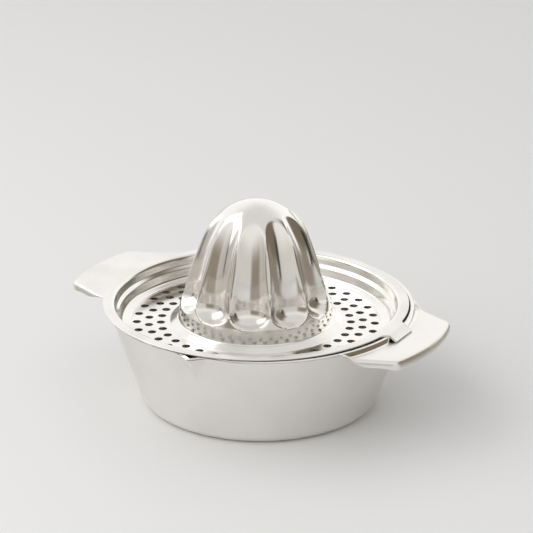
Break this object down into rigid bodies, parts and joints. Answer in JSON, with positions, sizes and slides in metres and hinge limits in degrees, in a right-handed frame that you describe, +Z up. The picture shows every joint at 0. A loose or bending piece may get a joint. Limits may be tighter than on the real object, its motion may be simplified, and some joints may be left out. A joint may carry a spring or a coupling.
{
  "type": "hand citrus juicer",
  "caption": "Pressed steel hand citrus juicer: a fluted reamer on a perforated strainer dish that rests on a pouring bowl with a handle plate and a V spout.",
  "frame": {"origin": "centre of the bowl's flat base, on the surface it stands on", "axes": "+Z up along the bowl's axis, +X towards the bowl's handle plate, +Y away from the spout"},
  "size_m": [0.1783, 0.143, 0.0952],
  "materials": {
    "bowl_steel": "satin outside and inside, brighter rim and handle plate",
    "strainer_steel": "polished"
  },
  "bodies": {
    "bowl": {"bowl": "bowl_steel"},
    "strainer": {"strainer": "strainer_steel", "cone": "strainer_steel"}
  },
  "joints": [
    {"name": "strainer_lift", "type": "slide", "parent": "bowl", "child": "strainer", "axis": [0, 0, 1], "range_m": [0, 0.08]}
  ]
}
